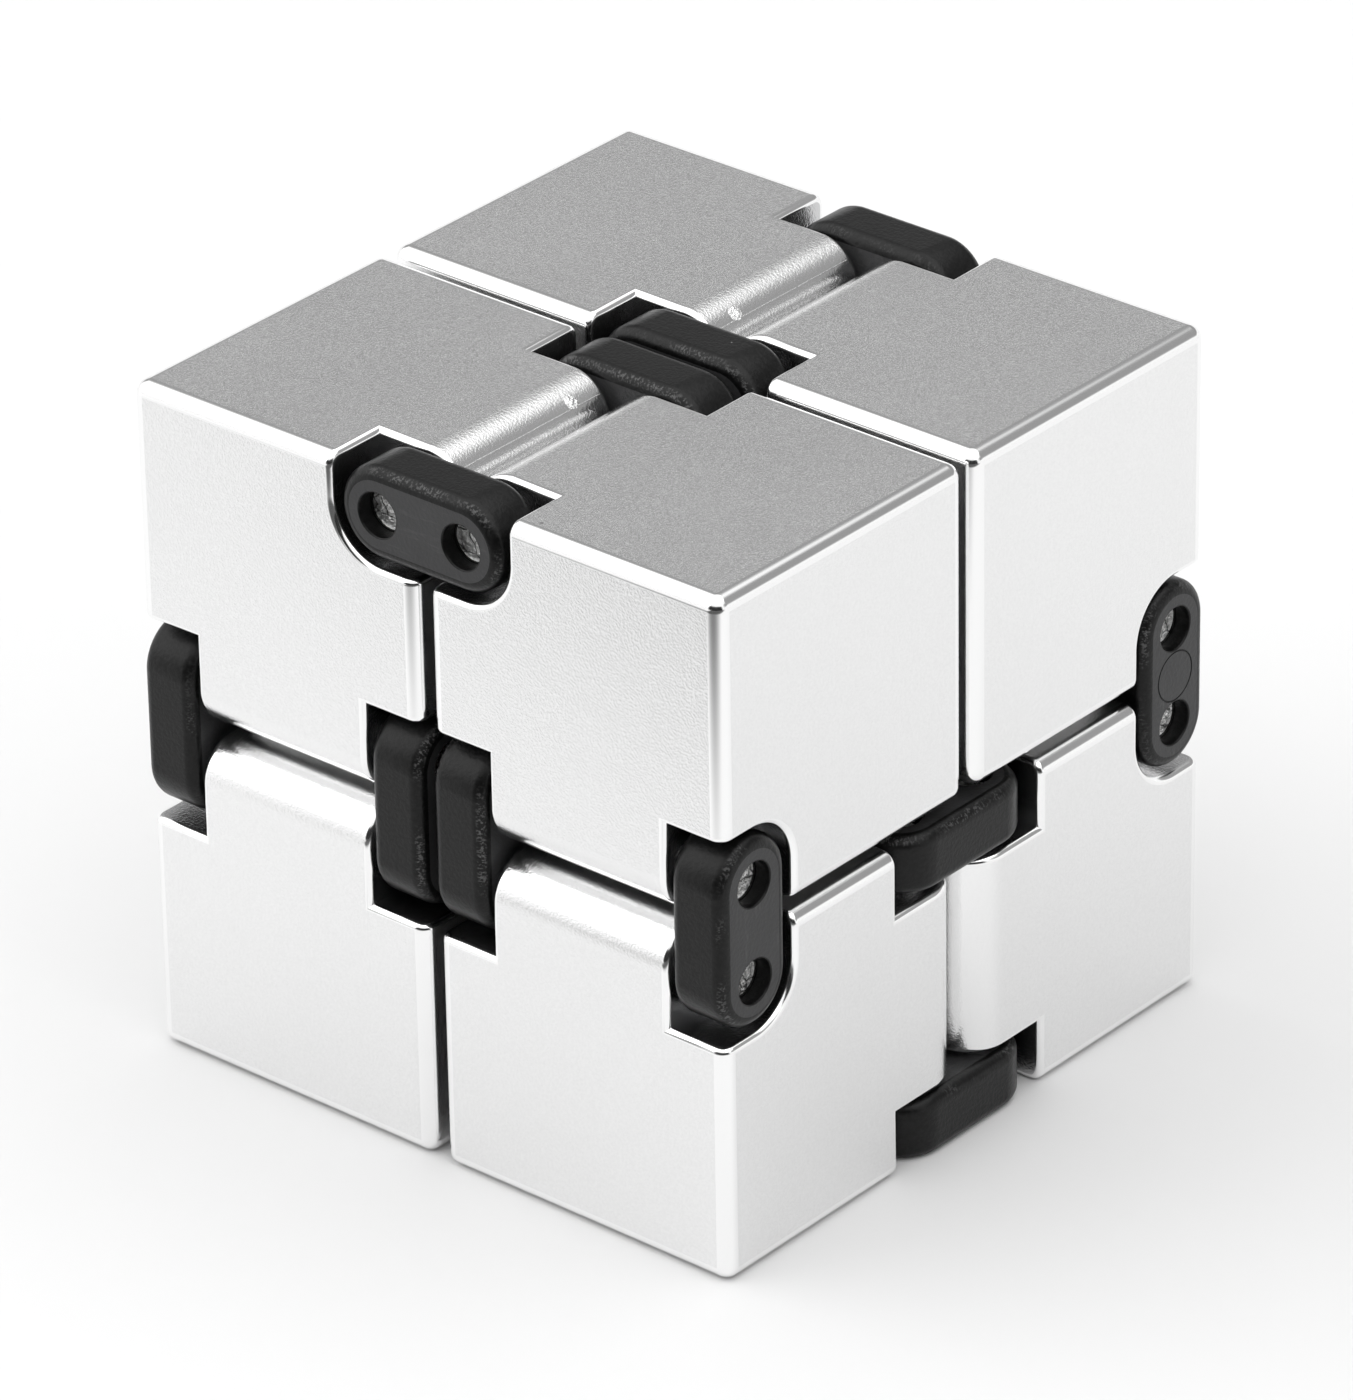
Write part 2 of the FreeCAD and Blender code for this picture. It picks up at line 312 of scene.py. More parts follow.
def mainEdge(edge):
    # a sharp edge between two of the block's outer faces
    middle = (edge.verts[0].co + edge.verts[1].co) / 2
    onFaces = sum(abs(part) < tiny or abs(part - blockSide) < tiny for part in middle)
    return onFaces == 2 and sharpEnough(edge)


def roundedCube():
    # a cube with its two hinge edges rounded to barrels
    bm = bmesh.new()
    bmesh.ops.create_cube(bm, size=blockSide)
    bmesh.ops.translate(bm, verts=bm.verts, vec=(blockSide / 2,) * 3)
    polish = bm.faces.layers.float.new("polish")
    made = bmesh.ops.bevel(
        bm, geom=[edge for edge in bm.edges if hingeEdge(edge)], offset=barrelRadius, offset_type="OFFSET",
        segments=block["barrelSteps"], profile=0.5, affect="EDGES",
    )
    bm.normal_update()
    for face in made["faces"]:
        turn = min(math.degrees(math.acos(min(1.0, abs(part)))) for part in face.normal)
        blend = min(1.0, turn / block["polishTurn"])
        face[polish] = block["barrelPolish"] * blend * blend * (3 - 2 * blend)
    return objectFrom("blockDraft", meshFrom("blockDraft", bm))


def buildBlock():
    obj = roundedCube()
    reach, wall = block["cutReach"], block["wall"]
    hollowMargin = wall + block["lip"]
    section = notchOutline()
    notches = []
    for toPoint in (alongFirst, alongSecond):
        notches.append(prism("innerNotch", section, -reach, notchDepth, toPoint, 1.0))
        notches.append(prism("outerNotch", section, blockSide - notchDepth, blockSide + reach, toPoint, 1.0))
    combine(obj, notches)
    roundOff(obj, mainEdge, block["edgeRound"], block["edgeSteps"], 1.0)
    roundOff(obj, sharpEnough, block["notchRound"], block["notchSteps"], 1.0)
    bore = circleOutline(pinRadius + block["boreGap"], block["boreSteps"], barrelRadius, barrelRadius)
    shallow, deep = steppedOutline(hollowMargin), steppedOutline(hollowMargin, notchSize + wall)
    combine(obj, [
        prism("firstBore", bore, reach, blockSide - reach, alongFirst, 1.0),
        prism("secondBore", bore, reach, blockSide - reach, alongSecond, 1.0),
        prism("coverSeat", steppedOutline(wall), -reach, cover["thickness"], throughFront, 1.0),
        prism("shallowHollow", shallow, -reach, blockSide - notchSize - wall, throughFront, 1.0),
        prism("deepHollow", deep, -reach, blockSide - wall, throughFront, 1.0),
    ])
    mesh = obj.data
    bpy.data.objects.remove(obj)
    return mesh


cover = {
    "fit": 0.05 * mm,
    "thickness": 1.2 * mm,
    "spigotHeight": 1.6 * mm,
    "spigotWall": 1.0 * mm,
    "edgeRound": 0.1 * mm,
    "edgeSteps": 2,
}


def coverEdge(edge):
    return max(vertex.co.y for vertex in edge.verts) < tiny


def buildCover():
    plateMargin = block["wall"] + cover["fit"]
    spigotMargin = plateMargin + block["lip"]
    rim = steppedOutline(spigotMargin + cover["spigotWall"])
    top, height = cover["thickness"], cover["spigotHeight"]
    obj = prism("coverDraft", steppedOutline(plateMargin), 0.0, top, throughFront)
    roundOff(obj, coverEdge, cover["edgeRound"], cover["edgeSteps"], 1.0)
    spigot = prism("spigot", steppedOutline(spigotMargin), top, top + height, throughFront)
    combine(spigot, [prism("inside", rim, top - mm, top + 2 * height, throughFront)])
    combine(obj, [spigot], "UNION")
    mesh = obj.data
    bpy.data.objects.remove(obj)
    return mesh


def blockMatrix(node):
    # where a block's own axes lie in the closed cube, from the side of the middle that its box is on
    sides = [math.copysign(1, part) for part in boxMiddle(node) - cubeMiddle]
    low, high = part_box(node.replace("cover", "shell"))
    corner = Vector([near if side > 0 else far for near, far, side in zip(low, high, sides)])
    across, along, upward = sides
    if upward > 0:
        return placeMatrix(corner, (across, 0, 0), (0, along, 0), (0, 0, 1))
    return placeMatrix(corner, (0, 0, -1), (across, 0, 0), (0, along, 0))


# A link is a stadium with x across and its plain face at z = 0. The wide mouths are in its other face.
link = {
    "edgeRound": 0.7 * mm,
    "edgeSteps": 7,
    "endSteps": 40,
    "mouthGap": 0.06 * mm,
    "mouthRound": 0.09 * mm,
    "mouthSteps": 3,
    "mouthPolish": 0.6,
    "holeSteps": 48,
    "cutReach": 1.0 * mm,
    "crisp": 60,                 # degrees that make an edge one to round
    "ringed": "rear_right_outer_link",
    "ringRadius": 1.45 * mm,
    "ringDepth": 0.05 * mm,
    "ringSides": 8,
    "ringSteps": 64,
}


def ringGroove():
    # a fine ring to cut into a link's outer face, midway between its holes
    bm = bmesh.new()
    sides, depth = link["ringSides"], link["ringDepth"]
    section = circleOutline(depth, sides)
    verts = [bm.verts.new((link["ringRadius"] + x, 0, linkThickness + z)) for x, z in section]
    edges = [bm.edges.new((verts[i], verts[(i + 1) % sides])) for i in range(sides)]
    bmesh.ops.spin(
        bm, geom=verts + edges, cent=(0, 0, 0), axis=(0, 0, 1), angle=2 * math.pi, steps=link["ringSteps"])
    bmesh.ops.remove_doubles(bm, verts=bm.verts, dist=tiny / 10)
    bmesh.ops.recalc_face_normals(bm, faces=bm.faces)
    return objectFrom("ringGroove", meshFrom("ringGroove", bm))


def stadiumOutline():
    outline = []
    for side in (1, -1):
        for i in range(link["endSteps"] + 1):
            angle = math.pi * i / link["endSteps"] - math.pi / 2
            x = side * (pinReach + linkHalfWidth * math.cos(angle))
            outline.append((x, side * linkHalfWidth * math.sin(angle)))
    return outline


def linkEdge(edge):
    return sharpEnough(edge, link["crisp"])


def mouthRim(edge):
    return min(vertex.co.z for vertex in edge.verts) > linkThickness - tiny and linkEdge(edge)


def buildLink(ringed=False):
    reach = link["cutReach"]
    obj = prism("linkDraft", stadiumOutline(), 0.0, linkThickness, straightUp)
    roundOff(obj, linkEdge, link["edgeRound"], link["edgeSteps"], 1.0)
    holes = []
    for side in (1, -1):
        hole = circleOutline(pinRadius, link["holeSteps"], side * pinReach)
        mouth = circleOutline(pinRadius + link["mouthGap"], link["holeSteps"], side * pinReach)
        holes.append(prism("hole", hole, -reach, linkThickness, straightUp, 1.0))
        holes.append(prism("mouth", mouth, linkThickness - pinRecess, linkThickness + reach, straightUp, 1.0))
    combine(obj, holes)
    roundOff(obj, mouthRim, link["mouthRound"], link["mouthSteps"], link["mouthPolish"])
    if ringed:
        combine(obj, [ringGroove()])
    mesh = obj.data
    bpy.data.objects.remove(obj)
    markLink(mesh)
    return mesh


def markLink(mesh):
    # marks a link's flat faces, and how far each vertex is round the turn of an edge
    flat = mesh.attributes.new("flatFace", "FLOAT", "FACE")
    flat.data.foreach_set("value", [float(abs(face.normal.z) > almost) for face in mesh.polygons])
    crest = mesh.attributes.new("crest", "FLOAT", "POINT")
    values = []
    for vertex in mesh.vertices:
        pastPin = max(abs(vertex.co.x) - pinReach, 0.0)
        out = math.hypot(pastPin, vertex.co.y) - (linkHalfWidth - link["edgeRound"])
        over = abs(vertex.co.z - linkThickness / 2) - (linkThickness / 2 - link["edgeRound"])
        turn = math.atan2(max(over, 0.0), max(out, 0.0)) if max(over, out) > 0 else 0.0
        values.append(math.sin(2 * turn))
    crest.data.foreach_set("value", values)


def axisOf(size, pick):
    # the frame axis along which a box is shortest or longest
    parts = list(size)
    return parts.index(pick(parts))


def unit(axis, sign=1.0):
    return Vector([sign if i == axis else 0.0 for i in range(3)])


def linkMatrix(node):
    hinge = node.rsplit("_", 2)[0]
    size = boxSize(node)
    thick, wide = axisOf(size, min), axisOf(size, max)
    ownPin = next(other for other in bodyOf if other.startswith(hinge) and other.endswith("_pin"))
    mouthSide = math.copysign(1, (boxMiddle(node) - boxMiddle(ownPin))[thick])
    third = unit(thick, mouthSide)
    first = unit(wide)
    plainFace = boxMiddle(node) - third * (linkThickness / 2)
    return placeMatrix(plainFace, first, third.cross(first), third)


def startTree(name, inputs):
    # a Geometry Nodes tree with named inputs, and what finds each input on a modifier
    tree = bpy.data.node_groups.new(name, "GeometryNodeTree")
    sockets = {}
    for label, kind in inputs:
        socket = tree.interface.new_socket(label, in_out="INPUT", socket_type=f"NodeSocket{kind}")
        sockets[label] = socket.identifier
    tree.interface.new_socket("Geometry", in_out="OUTPUT", socket_type="NodeSocketGeometry")
    return tree, sockets, tree.nodes.new("NodeGroupInput").outputs


def finishTree(tree, geometry, material):
    real = add(tree, "GeometryNodeRealizeInstances", geometry)
    coated = add(tree, "GeometryNodeSetMaterial", Geometry=real, Material=material)
    tree.links.new(coated, tree.nodes.new("NodeGroupOutput").inputs[0])


def grown(tree, sockets, values):
    # the plain mesh that a Geometry Nodes tree makes from these inputs
    carrier = objectFrom("carrier", bpy.data.meshes.new("carrier"))
    modifier = carrier.modifiers.new("grow", "NODES")
    modifier.node_group = tree
    for label, value in values.items():
        modifier[sockets[label]] = value
    mesh = bakedMesh(carrier)
    bpy.data.objects.remove(carrier)
    return mesh


# A parting line is a thin bead along a barrel that wanders a little from side to side.
seam = {
    "turn": 52,                  # degrees round the barrel from the top face
    "radius": 0.036 * mm,
    "sunk": 0.4,                 # share of the radius
    "wander": 0.05 * mm,
    "wanderScale": 420.0,
    "steps": 90,
    "sides": 6,
    "inset": 0.45 * mm,
    "facet": 80,
    "seedStep": 0.021,
}


def seamTree():
    tree, sockets, given = startTree("partingLine", [
        ("Start", "Vector"), ("End", "Vector"), ("Across", "Vector"), ("Radius", "Float"), ("Wander", "Float"),
        ("Wander Scale", "Float"), ("Seed", "Float"), ("Material", "Material"),
    ])
    line = add(tree, "GeometryNodeCurvePrimitiveLine", Start=given["Start"], End=given["End"])
    line = add(tree, "GeometryNodeResampleCurve", Curve=line, Count=seam["steps"])
    seed = add(tree, "ShaderNodeCombineXYZ", given["Seed"])
    place = add(tree, "ShaderNodeVectorMath", add(tree, "GeometryNodeInputPosition"), seed, operation="ADD")
    noise = add(tree, "ShaderNodeTexNoise", Vector=place, Scale=given["Wander Scale"], Detail=3.0)
    side = mathsOf(tree, "MULTIPLY", mathsOf(tree, "SUBTRACT", noise, 0.5), given["Wander"])
    offset = add(tree, "ShaderNodeVectorMath", given["Across"], Scale=side, operation="SCALE")
    line = add(tree, "GeometryNodeSetPosition", Geometry=line, Offset=offset)
    section = add(tree, "GeometryNodeCurvePrimitiveCircle", Resolution=seam["sides"], Radius=given["Radius"])
    bead = add(tree, "GeometryNodeCurveToMesh", Curve=line, Profile_Curve=section, Fill_Caps=True)
    finishTree(tree, bead, given["Material"])
    return tree, sockets


def crestPoint(turn, along):
    # a point on the first hinge's barrel, in a block's own axes
    x = barrelRadius * (1 - math.sin(turn))
    return Vector((x, along, blockSide - barrelRadius * (1 - math.cos(turn))))


def buildSeam(tree, sockets, seed):
    turn = math.radians(seam["turn"])
    sink = Vector((math.sin(turn), 0, -math.cos(turn))) * (seam["radius"] * seam["sunk"])
    return grown(tree, sockets, {
        "Start": crestPoint(turn, notchDepth + seam["inset"]) + sink,
        "End": crestPoint(turn, blockSide - notchDepth - seam["inset"]) + sink,
        "Across": (math.cos(turn), 0.0, math.sin(turn)), "Radius": seam["radius"], "Wander": seam["wander"],
        "Wander Scale": seam["wanderScale"], "Seed": seam["seedStep"] * seed, "Material": plating,
    })


# A gate scar is a low torn mound on a barrel, where the casting was broken from its gate.
scar = {
    "turn": 44,
    "radius": 0.42 * mm,
    "height": 0.07 * mm,
    "tear": 3.0,                 # how far the tearing reaches, in heights
    "tearScale": 2600.0,
    "fromEnd": 2.4 * mm,
    "facet": 16,
    "seedStep": 0.017,
    "blocks": ("upper_rear_left_shell", "upper_front_left_shell"),
}


def scarTree():
    tree, sockets, given = startTree("gateScar", [
        ("Radius", "Float"), ("Height", "Float"), ("Tear Scale", "Float"), ("Seed", "Float"),
        ("Material", "Material"),
    ])
    ball = add(tree, "GeometryNodeMeshIcoSphere", Radius=1.0, Subdivisions=5)
    seed = add(tree, "ShaderNodeCombineXYZ", given["Seed"])
    flat = add(tree, "ShaderNodeCombineXYZ", given["Radius"], given["Radius"], given["Height"])
    mound = add(tree, "GeometryNodeTransform", Geometry=ball, Scale=flat)
    place = add(tree, "ShaderNodeVectorMath", add(tree, "GeometryNodeInputPosition"), seed, operation="ADD")
    noise = add(tree, "ShaderNodeTexNoise", Vector=place, Scale=given["Tear Scale"], Detail=4.0, Roughness=0.7)
    lift = mathsOf(tree, "MULTIPLY", mathsOf(tree, "SUBTRACT", noise, 0.5), given["Height"])
    lift = mathsOf(tree, "MULTIPLY", lift, scar["tear"])
    normal = add(tree, "GeometryNodeInputNormal")
    outward = add(tree, "ShaderNodeVectorMath", normal, Scale=lift, operation="SCALE")
    mound = add(tree, "GeometryNodeSetPosition", Geometry=mound, Offset=outward)
    finishTree(tree, mound, given["Material"])
    return tree, sockets


def buildScar(tree, sockets, seed):
    mesh = grown(tree, sockets, {
        "Radius": scar["radius"], "Height": scar["height"], "Tear Scale": scar["tearScale"],
        "Seed": scar["seedStep"] * seed, "Material": plating,
    })
    turn = math.radians(scar["turn"])
    out = Vector((-math.sin(turn), 0, math.cos(turn)))
    spot = crestPoint(turn, notchDepth + scar["fromEnd"])
    mesh.transform(placeMatrix(spot, Vector((0, 1, 0)).cross(out), (0, 1, 0), out))
    return mesh


# A pin is a rod with sheared, uneven ends. It is drawn along z, with its middle at the origin.
pin = {
    "ringSteps": 40,
    "sideSteps": 3,
    "fillSteps": 12,
    "shearDepth": 0.34 * mm,
    "shearScale": 3000.0,
    "tornReach": 0.374 * mm,     # how far from each end the torn look goes, past the deepest tear
    "grainShare": 0.45,          # of the torn face, and the rest is cells
    "rimFrom": 0.97,             # share of the radius where the chamfer starts
    "chamfer": 0.12 * mm,
    "facet": 14,
    "seedStep": 0.013,
}


def pinTree():
    tree, sockets, given = startTree("shearedPin", [
        ("Radius", "Float"), ("Length", "Float"), ("Chamfer", "Float"), ("Shear Depth", "Float"),
        ("Shear Scale", "Float"), ("Seed", "Float"), ("Material", "Material"),
    ])

    def maths(operation, *values):
        return mathsOf(tree, operation, *values)

    rod = add(
        tree, "GeometryNodeMeshCylinder", fill_type="TRIANGLE_FAN",
        Vertices=pin["ringSteps"], Side_Segments=pin["sideSteps"], Fill_Segments=pin["fillSteps"],
        Radius=given["Radius"], Depth=given["Length"])
    place = add(tree, "GeometryNodeInputPosition")
    x, y, z = addNode(tree, "ShaderNodeSeparateXYZ", place)
    half = maths("MULTIPLY", given["Length"], 0.5)
    atEnd = maths("GREATER_THAN", maths("ABSOLUTE", z), maths("MULTIPLY", half, almost))
    fromAxis = maths("SQRT", maths("ADD", maths("MULTIPLY", x, x), maths("MULTIPLY", y, y)))
    inside = maths("LESS_THAN", fromAxis, maths("MULTIPLY", given["Radius"], pin["rimFrom"]))
    onRim = maths("SUBTRACT", 1.0, inside)
    shift = add(tree, "ShaderNodeCombineXYZ", given["Seed"], given["Seed"])
    moved = add(tree, "ShaderNodeVectorMath", place, shift, operation="ADD")
    scale = given["Shear Scale"]
    noise = add(tree, "ShaderNodeTexNoise", Vector=moved, Scale=scale, Detail=4.0, Roughness=0.66)
    cells = add(tree, "ShaderNodeTexVoronoi", Vector=moved, Scale=scale)
    share = pin["grainShare"]
    torn = maths("ADD", maths("MULTIPLY", noise, share), maths("MULTIPLY", cells, 1 - share))
    sink = maths("MULTIPLY", maths("MULTIPLY", torn, given["Shear Depth"]), inside)
    sink = maths("ADD", sink, maths("MULTIPLY", onRim, given["Chamfer"]))
    sink = maths("MULTIPLY", maths("MULTIPLY", sink, atEnd), maths("MULTIPLY", maths("SIGN", z), -1.0))
    offset = add(tree, "ShaderNodeCombineXYZ", Z=sink)
    rod = add(tree, "GeometryNodeSetPosition", Geometry=rod, Offset=offset)
    finishTree(tree, rod, given["Material"])
    return tree, sockets


def buildPin(tree, sockets, node, seed):
    size = boxSize(node)
    long = axisOf(size, max)
    mesh = grown(tree, sockets, {
        "Radius": pinRadius, "Length": size[long], "Chamfer": pin["chamfer"], "Shear Depth": pin["shearDepth"],
        "Shear Scale": pin["shearScale"], "Seed": pin["seedStep"] * seed, "Material": steel,
    })
    endFrom = size[long] / 2 - pin["tornReach"]
    tornEnd = mesh.attributes.new("tornEnd", "FLOAT", "FACE")
    tornEnd.data.foreach_set("value", [float(abs(face.center.z) > endFrom) for face in mesh.polygons])
    third = unit(long)
    first = unit((long + 1) % 3)
    return mesh, placeMatrix(boxMiddle(node), first, third.cross(first), third)


# Shader groups. Each one reads the piece's own coordinates, so a pattern stays with its piece.
def rangeOf(tree, value, fromLow, fromHigh, toLow=0.0, toHigh=1.0):
    # a smooth step from one number to another as the value crosses a range
    return add(
        tree, "ShaderNodeMapRange", interpolation_type="SMOOTHSTEP",
        Value=value, From_Min=fromLow, From_Max=fromHigh, To_Min=toLow, To_Max=toHigh)


def mixOf(tree, factor, first, second, kind="FLOAT"):
    # mixes two numbers, or two colours with the kind RGBA
    node = tree.nodes.new("ShaderNodeMix")
    node.data_type = kind
    place = {"FLOAT": 2, "RGBA": 6}[kind]        # the node has a pair of inputs for each kind
    feed(tree, node.inputs[0], factor)
    feed(tree, node.inputs[place], first)
    feed(tree, node.inputs[place + 1], second)
    return node.outputs[{"FLOAT": 0, "RGBA": 2}[kind]]


def attributeOf(tree, name, output="Fac"):
    return addNode(tree, "ShaderNodeAttribute", attribute_name=name)[output]


def newGroup(name, inputs, outputs):
    group = bpy.data.node_groups.new(name, "ShaderNodeTree")
    for label, value in inputs:
        socket = group.interface.new_socket(label, in_out="INPUT", socket_type="NodeSocketFloat")
        socket.default_value = value
    for label in outputs:
        group.interface.new_socket(label, in_out="OUTPUT", socket_type="NodeSocketFloat")
    given = group.nodes.new("NodeGroupInput").outputs
    out = group.nodes.new("NodeGroupOutput").inputs
    return group, given, out, attributeOf(group, "own", "Vector")


def grainGroup():
    # fine blasted or moulded grain, and a slow cloud of shade over it
    group, given, out, own = newGroup(
        "fineGrain", [("Grain Scale", 9000.0), ("Cloud Scale", 160.0)], ["Grain", "Cloud"])
    fine = add(group, "ShaderNodeTexNoise", Vector=own, Scale=given["Grain Scale"], Detail=2.0, Roughness=0.65)
    cloud = add(group, "ShaderNodeTexNoise", Vector=own, Scale=given["Cloud Scale"], Detail=3.0, Roughness=0.5)
    feed(group, out["Grain"], rangeOf(group, fine, 0.33, 0.67))
    feed(group, out["Cloud"], cloud)
    return group


def scuffGroup():
    # hairline scuffs: noise stretched along one of the piece's axes, kept only where it is strongest
    group, given, out, own = newGroup("hairlineScuffs", [
        ("Scale", 900.0), ("Stretch X", 1.0), ("Stretch Y", 1.0), ("Stretch Z", 0.06), ("Threshold", 0.62),
    ], ["Scuff"])
    squeeze = add(group, "ShaderNodeCombineXYZ", given["Stretch X"], given["Stretch Y"], given["Stretch Z"])
    shaped = add(group, "ShaderNodeVectorMath", own, squeeze, operation="MULTIPLY")
    noise = add(group, "ShaderNodeTexNoise", Vector=shaped, Scale=given["Scale"], Detail=3.0, Roughness=0.6)
    over = mathsOf(group, "SUBTRACT", noise, given["Threshold"])
    feed(group, out["Scuff"], mathsOf(group, "MULTIPLY", over, 9.0, use_clamp=True))
    return group


def speckGroup():
    # sparse round specks: the middles of a few cells, each of its own size
    group, given, out, own = newGroup(
        "sparseSpecks", [("Scale", 400.0), ("Share", 0.05), ("Size", 0.12)], ["Speck"])
    cells = addNode(group, "ShaderNodeTexVoronoi", Vector=own, Scale=given["Scale"])
    red, green, blue = addNode(group, "ShaderNodeSeparateColor", cells["Color"])
    chosen = mathsOf(group, "LESS_THAN", red, given["Share"])
    radius = mathsOf(group, "MULTIPLY", green, given["Size"])
    near = mathsOf(group, "LESS_THAN", cells["Distance"], radius)
    feed(group, out["Speck"], mathsOf(group, "MULTIPLY", chosen, near))
    return group


def crackGroup():
    # a torn face: uneven patches of tone, parted by fine cracks that the steel darkens as painted shade
    group, given, out, own = newGroup(
        "tornCells", [("Scale", 1500.0), ("Warp", 0.35), ("Width", 0.07)], ["Tone", "Crack"])
    scale = given["Scale"]
    wander = addNode(group, "ShaderNodeTexNoise", Vector=own, Scale=scale, Detail=3.0)["Color"]
    reach = mathsOf(group, "DIVIDE", given["Warp"], scale)
    shift = add(group, "ShaderNodeVectorMath", wander, Scale=reach, operation="SCALE")
    moved = add(group, "ShaderNodeVectorMath", own, shift, operation="ADD")
    cells = addNode(group, "ShaderNodeTexVoronoi", Vector=moved, Scale=scale)
    edges = addNode(group, "ShaderNodeTexVoronoi", feature="DISTANCE_TO_EDGE", Vector=moved, Scale=scale)
    feed(group, out["Tone"], add(group, "ShaderNodeSeparateColor", cells["Color"]))
    feed(group, out["Crack"], rangeOf(group, edges["Distance"], 0.0, given["Width"], 1.0, 0.0))
    return group


grain = grainGroup()
scuffs = scuffGroup()
specks = speckGroup()
cracks = crackGroup()


def patternOf(tree, group, **values):
    return addNode(tree, "ShaderNodeGroup", node_tree=group, **values)


def startMaterial(name):
    material = bpy.data.materials.new(name)
    material.use_nodes = True
    tree = material.node_tree
    return material, tree, tree.nodes["Principled BSDF"].inputs


def grey(level, blue=0.0):
    return (level, level, level + blue, 1)


# satin plating: fine grain on the flats, smoother metal on the rounded edges, and a darker colour in the
# recesses as painted shade
blockLook = {
    "grain": {"Grain_Scale": 7000.0, "Cloud_Scale": 90.0},
    "hairs": {"Scale": 500.0, "Stretch_X": 0.04, "Threshold": 0.77},
    "pits": {"Scale": 260.0, "Share": 0.03, "Size": 0.05},
    "flatRough": (0.19, 0.27), "hairRough": 0.35, "edgeRough": 0.14,
    "grainBump": 0.3, "bumpDepth": 0.03 * mm,
    "darkMetal": grey(0.82), "lightMetal": grey(0.875), "edgeMetal": grey(0.93),
    # paintedRecessShade: painted shade for the notches, bores and hollows
    "pitTone": grey(0.5), "paintedRecessShade": grey(0.62, 0.005),
}
coverLook = {
    "grain": {"Grain_Scale": 6000.0, "Cloud_Scale": 120.0},
    "hairs": {"Scale": 400.0, "Stretch_X": 0.04, "Threshold": 0.77},
    "pits": {"Scale": 260.0, "Share": 0.03, "Size": 0.05},
    "flatRough": (0.28, 0.36), "hairRough": 0.44, "edgeRough": 0.14,
    "grainBump": 0.6, "bumpDepth": 0.03 * mm,
    "darkMetal": grey(0.7), "lightMetal": grey(0.82), "edgeMetal": grey(0.9),
    # paintedRecessShade: painted shade for the recesses
    "pitTone": grey(0.45), "paintedRecessShade": grey(0.42, 0.005),
}


def satinMetal(name, look):
    material, tree, shader = startMaterial(name)
    fine = patternOf(tree, grain, **look["grain"])
    hairs = patternOf(tree, scuffs, **look["hairs"])["Scuff"]
    pits = patternOf(tree, specks, **look["pits"])["Speck"]
    polish, cavity = attributeOf(tree, "polish"), attributeOf(tree, "cavity")
    rough = mixOf(tree, hairs, mixOf(tree, fine["Cloud"], *look["flatRough"]), look["hairRough"])
    tone = mixOf(tree, fine["Grain"], look["darkMetal"], look["lightMetal"], "RGBA")
    tone = mixOf(tree, pits, tone, look["pitTone"], "RGBA")
    tone = mixOf(tree, polish, tone, look["edgeMetal"], "RGBA")
    height = mixOf(tree, polish, mathsOf(tree, "SUBTRACT", fine["Grain"], pits), 0.5)
    bump = add(tree, "ShaderNodeBump", Strength=look["grainBump"], Distance=look["bumpDepth"], Height=height)
    # the cavity faces (notches, bores, hollows) take a darker colour: painted shade, not a different finish
    feed(tree, shader["Base Color"], mixOf(tree, cavity, tone, look["paintedRecessShade"], "RGBA"))
    feed(tree, shader["Roughness"], mixOf(tree, polish, rough, look["edgeRough"]))
    feed(tree, shader["Normal"], bump)
    shader["Metallic"].default_value = 1.0
    return material


# moulded black plastic: rubbed paler on its flat faces, with short scuffs across its rounded edges, whose pale
# band along each crest is partly real scuff wear and partly a painted highlight
plasticLook = {
    "grain": {"Grain_Scale": 4500.0, "Cloud_Scale": 260.0},
    "scuffs": {"Scale": 7500.0, "Stretch_Z": 0.3, "Threshold": 0.5},
    "rubbed": {"Scale": 2600.0, "Stretch_X": 0.15, "Threshold": 0.6},
    "dust": {"Scale": 500.0, "Share": 0.04, "Size": 0.12},
    "crest": (0.55, 1.0), "patches": (0.4, 0.62), "rubShare": 0.25,
    "rough": (0.27, 0.39), "wornRough": 0.53, "ior": 1.32,
    "grainBump": 0.22, "bumpDepth": 0.03 * mm,
    "black": grey(0.0025), "charcoal": grey(0.006),
    "faceDark": grey(0.030, 0.001), "faceLight": grey(0.052, 0.001),
    # wearAndSheenTone: real rubbing on the flat faces, and on the edge crests partly a painted highlight
    "wearAndSheenTone": grey(0.095), "dustTone": grey(0.3), "holeTone": grey(0.004),
}


